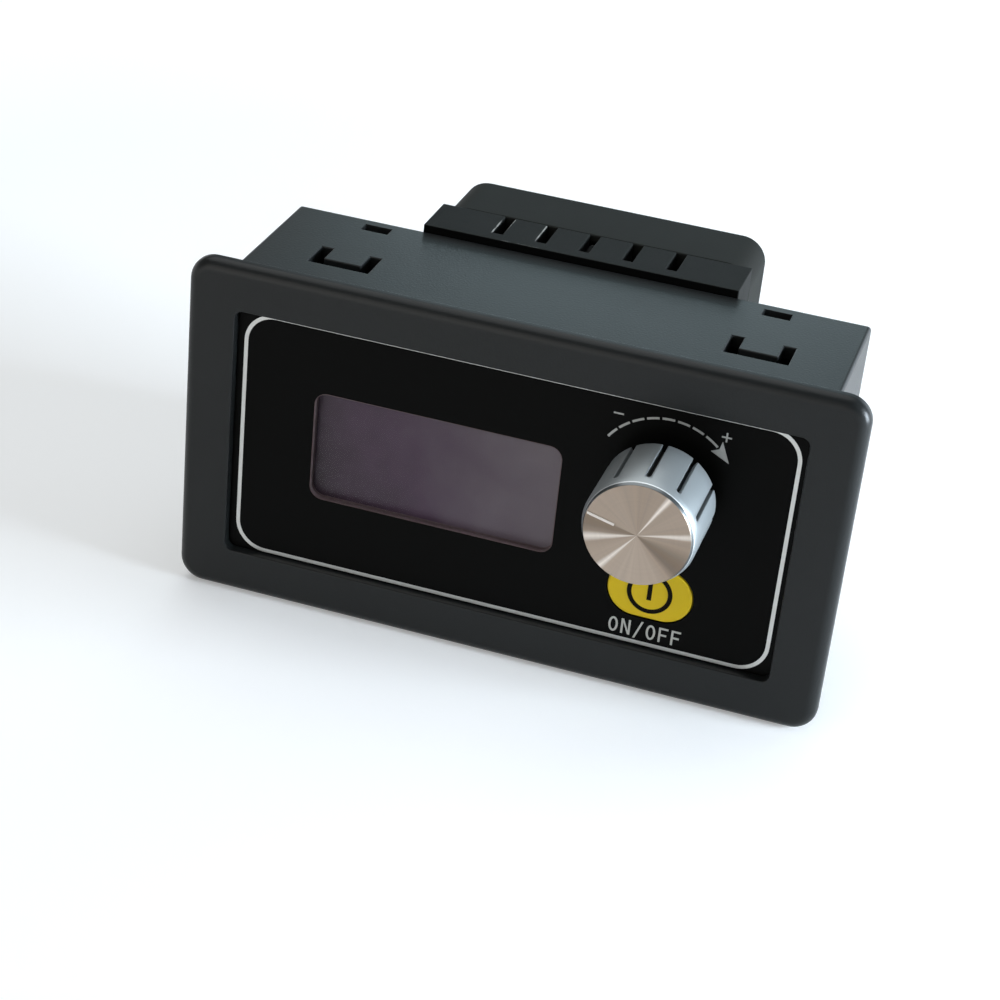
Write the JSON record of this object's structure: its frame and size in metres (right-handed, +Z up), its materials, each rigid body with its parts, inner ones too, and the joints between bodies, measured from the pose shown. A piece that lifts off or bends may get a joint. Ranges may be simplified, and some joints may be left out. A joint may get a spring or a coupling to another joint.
{
  "type": "dc electronic load",
  "caption": "Panel-mounted DC electronic load: bezel case with display window, slotted push knob and yellow on/off key in front, heat sink, fan, load terminals and supply jack behind.",
  "frame": {"origin": "centre of the bezel's rear face, in the plane that sits on the panel", "axes": "+X to the right seen from the front, +Y to the rear, +Z up"},
  "size_m": [0.079, 0.0541, 0.0428],
  "materials": {
    "case_plastic": "fine matt texture, charcoal",
    "front_film": "satin black printed sheet",
    "clear_lens": "clear polished",
    "display_cell": "unlit purple-grey cell",
    "white_plastic": "matt",
    "board": "laminate with a black solder mask",
    "black_plastic": "moulded matt",
    "encoder_plastic": "phenolic brown",
    "cast_zinc": "plain die casting",
    "plated_metal": "tinned",
    "steel": "bright",
    "dark_steel": "black oxide",
    "knob_aluminium": "spun front, bright turned edges",
    "key_plastic": "satin yellow",
    "sink_aluminium": "black anodised",
    "can_aluminium": "capacitor can",
    "pad_rubber": "thermal silicone",
    "fan_plastic": "moulded black",
    "sleeve_brass": "sintered",
    "copper": "enamelled winding",
    "magnet_rubber": "bonded ferrite",
    "red_sleeve": "wire sleeve",
    "black_sleeve": "wire sleeve"
  },
  "bodies": {
    "case": {"case_shell": "case_plastic", "faceplate": "front_film", "window_lens": "clear_lens", "display_glass": "display_cell", "display_tray": "white_plastic", "control_board": "board", "controller_chip": "black_plastic", "encoder_cup": "encoder_plastic", "encoder_bush": "cast_zinc", "encoder_pins": "plated_metal", "push_contact": "plated_metal", "switch_body": "black_plastic", "switch_legs": "plated_metal", "link_socket": "black_plastic", "link_header": "black_plastic", "link_pins": "plated_metal", "power_board": "board", "transistor_body": "black_plastic", "transistor_frame": "plated_metal", "transistor_screw": "steel", "thermal_pad": "pad_rubber", "filter_capacitors": "can_aluminium", "shunt_resistors": "black_plastic", "heat_sink": "sink_aluminium", "heat_sink_screws": "steel", "terminal_block": "black_plastic", "terminal_bars": "plated_metal", "supply_jack": "black_plastic", "supply_pin": "plated_metal", "supply_spring": "plated_metal", "fan_frame": "fan_plastic", "fan_sleeve": "sleeve_brass", "fan_stator": "steel", "fan_coils": "copper", "fan_wire_red": "red_sleeve", "fan_wire_black": "black_sleeve", "fan_screws": "dark_steel"},
    "push_plate": {"push_plate": "white_plastic"},
    "knob": {"knob_cap": "knob_aluminium", "knob_core": "black_plastic", "encoder_shaft": "cast_zinc"},
    "detent_wheel": {"detent_wheel": "white_plastic"},
    "key": {"on_off_key": "key_plastic", "switch_plunger": "white_plastic"},
    "rotor": {"fan_hub": "fan_plastic", "fan_magnet": "magnet_rubber", "fan_shaft": "steel"},
    "upper_screw": {"clamp_screw_upper": "steel"},
    "lower_screw": {"clamp_screw_lower": "steel"},
    "upper_cage": {"clamp_cage_upper": "plated_metal"},
    "lower_cage": {"clamp_cage_lower": "plated_metal"}
  },
  "joints": [
    {"name": "knob_push", "type": "slide", "parent": "case", "child": "push_plate", "axis": [0, 1, 0], "range_m": [0, 0.0005], "stiffness_N_per_m": 3000},
    {"name": "knob_turn", "type": "hinge", "parent": "push_plate", "child": "knob", "pos_m": [0.01815, 0, 0.0055], "axis": [0, 1, 0], "continuous": true},
    {"name": "detent_turn", "type": "hinge", "parent": "case", "child": "detent_wheel", "pos_m": [0.01815, 0, 0.0055], "axis": [0, 1, 0], "continuous": true},
    {"name": "on_off_press", "type": "slide", "parent": "case", "child": "key", "axis": [0, 1, 0], "range_m": [0, 0.0003], "stiffness_N_per_m": 5000},
    {"name": "fan_spin", "type": "hinge", "parent": "case", "child": "rotor", "pos_m": [0, 0.0348, 0.0009], "axis": [0, -1, 0], "continuous": true},
    {"name": "upper_clamp_turn", "type": "hinge", "parent": "case", "child": "upper_screw", "pos_m": [-0.0296, 0.0304, 0.00254], "axis": [0, -1, 0], "range_deg": [0, 1440]},
    {"name": "upper_clamp_rise", "type": "slide", "parent": "case", "child": "upper_cage", "axis": [0, 1, 0], "range_m": [0, 0.002]},
    {"name": "lower_clamp_turn", "type": "hinge", "parent": "case", "child": "lower_screw", "pos_m": [-0.0296, 0.0304, -0.00254], "axis": [0, -1, 0], "range_deg": [0, 1440]},
    {"name": "lower_clamp_rise", "type": "slide", "parent": "case", "child": "lower_cage", "axis": [0, 1, 0], "range_m": [0, 0.002]}
  ],
  "couplings": [
    {"joint": "detent_turn", "follows": "knob_turn", "ratio": 1},
    {"joint": "upper_clamp_turn", "follows": "upper_clamp_rise", "rad_per_m": 12566},
    {"joint": "lower_clamp_turn", "follows": "lower_clamp_rise", "rad_per_m": 12566}
  ]
}
